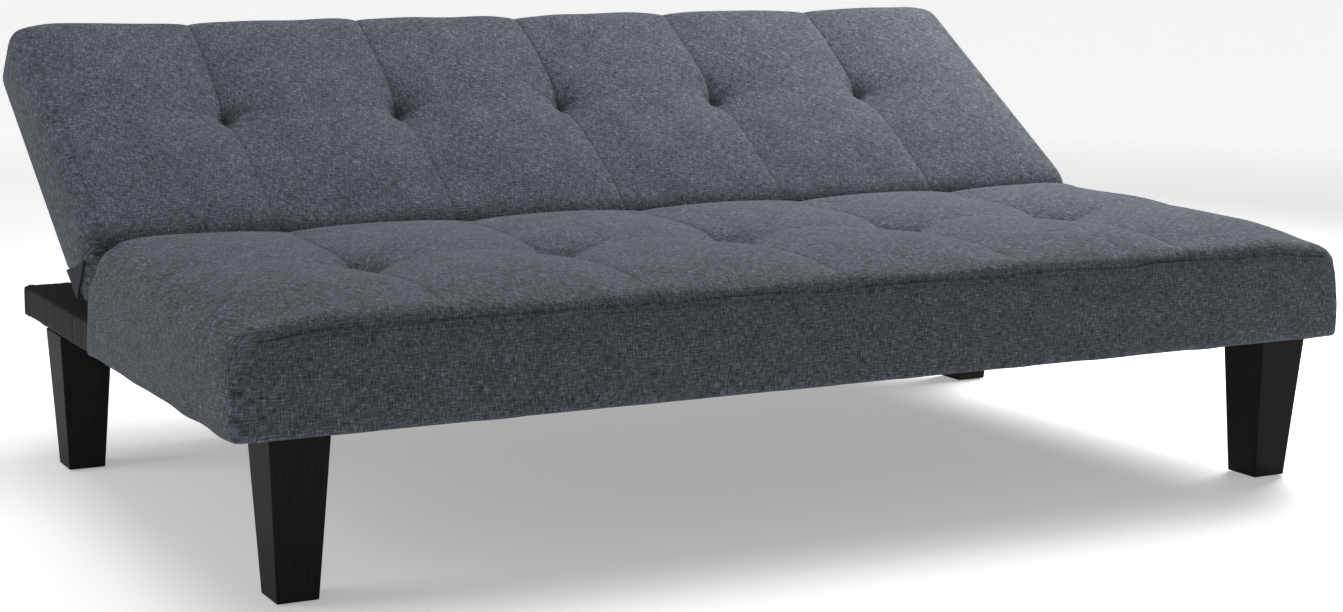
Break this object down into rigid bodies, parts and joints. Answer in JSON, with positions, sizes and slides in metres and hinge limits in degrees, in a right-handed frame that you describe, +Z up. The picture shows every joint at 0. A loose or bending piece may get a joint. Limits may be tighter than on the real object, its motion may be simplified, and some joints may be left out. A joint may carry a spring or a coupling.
{
  "type": "futon sofa bed",
  "caption": "Click-clack futon sofa bed: tufted seat box on tapered wood legs, with a tufted back pad on ratchet hinges that lies flat, half reclined or upright.",
  "frame": {"origin": "on the floor, under the middle of the sofa with its back half reclined", "axes": "+X along the seat to its right-hand end, +Y from the front to the rear, +Z up"},
  "size_m": [1.68, 1.0406, 0.6324],
  "materials": {
    "timber": "sawn softwood",
    "leg_wood": "black-brown lacquer",
    "weave": "heathered linen-look polyester",
    "gusset_cloth": "plain grey cloth",
    "black_cloth": "non-woven cloth",
    "foam": "polyurethane foam",
    "wadding": "polyester wadding",
    "felt": "needle felt",
    "webbing": "elastic webbing",
    "cord": "tufting cord",
    "steel": "zinc plated",
    "plastic": "moulded"
  },
  "bodies": {
    "base": {"seat_front_rail": "timber", "seat_rear_rail": "timber", "seat_side_rail_left": "timber", "seat_side_rail_right": "timber", "seat_corner_blocks": "timber", "seat_springs": "steel", "seat_spring_clips": "steel", "seat_felt": "felt", "seat_foam": "foam", "seat_wadding": "wadding", "seat_cover": "weave", "seat_dust_cover": "black_cloth", "seat_tuft_ties": "cord", "seat_tuft_washers": "plastic", "base_arm_left": "timber", "base_arm_right": "timber", "base_cross_rail": "timber", "base_rear_rail": "timber", "base_stretchers": "timber", "base_leg_blocks": "timber", "base_cover": "black_cloth", "frame_bolts": "steel", "leg_front_left": "leg_wood", "leg_front_right": "leg_wood", "leg_rear_left": "leg_wood", "leg_rear_right": "leg_wood", "leg_hanger_bolts": "steel", "leg_tee_nuts": "steel", "leg_glides": "plastic", "hinge_seat_plate_left": "steel", "hinge_seat_plate_right": "steel", "hinge_pivot_bolts": "steel", "hinge_pivot_nuts": "steel", "hinge_seat_screws": "steel", "hinge_pawl_pins": "steel"},
    "backrest": {"back_top_rail": "timber", "back_bottom_rail": "timber", "back_side_rail_left": "timber", "back_side_rail_right": "timber", "back_slats": "timber", "back_webbing_long": "webbing", "back_webbing_cross": "webbing", "back_foam": "foam", "back_wadding": "wadding", "back_cover": "weave", "back_rear_cloth": "black_cloth", "back_tuft_ties": "cord", "back_tuft_washers": "plastic", "hinge_back_arm_left": "steel", "hinge_back_arm_right": "steel", "hinge_back_screws": "steel", "hinge_gusset_left": "gusset_cloth", "hinge_gusset_right": "gusset_cloth"},
    "pawl_left": {"hinge_pawl_left": "steel"},
    "pawl_right": {"hinge_pawl_right": "steel"}
  },
  "joints": [
    {"name": "backrest_recline", "type": "hinge", "parent": "base", "child": "backrest", "pos_m": [0, 0.07269, 0.314], "axis": [1, 0, 0], "range_deg": [-34.5, 40]},
    {"name": "pawl_left_lift", "type": "hinge", "parent": "base", "child": "pawl_left", "pos_m": [0, 0.01269, 0.278], "axis": [1, 0, 0], "range_deg": [-8, 0], "stiffness_Nm_per_rad": 0.5, "springref_deg": 17.19},
    {"name": "pawl_right_lift", "type": "hinge", "parent": "base", "child": "pawl_right", "pos_m": [0, 0.01269, 0.278], "axis": [1, 0, 0], "range_deg": [-8, 0], "stiffness_Nm_per_rad": 0.5, "springref_deg": 17.19}
  ]
}
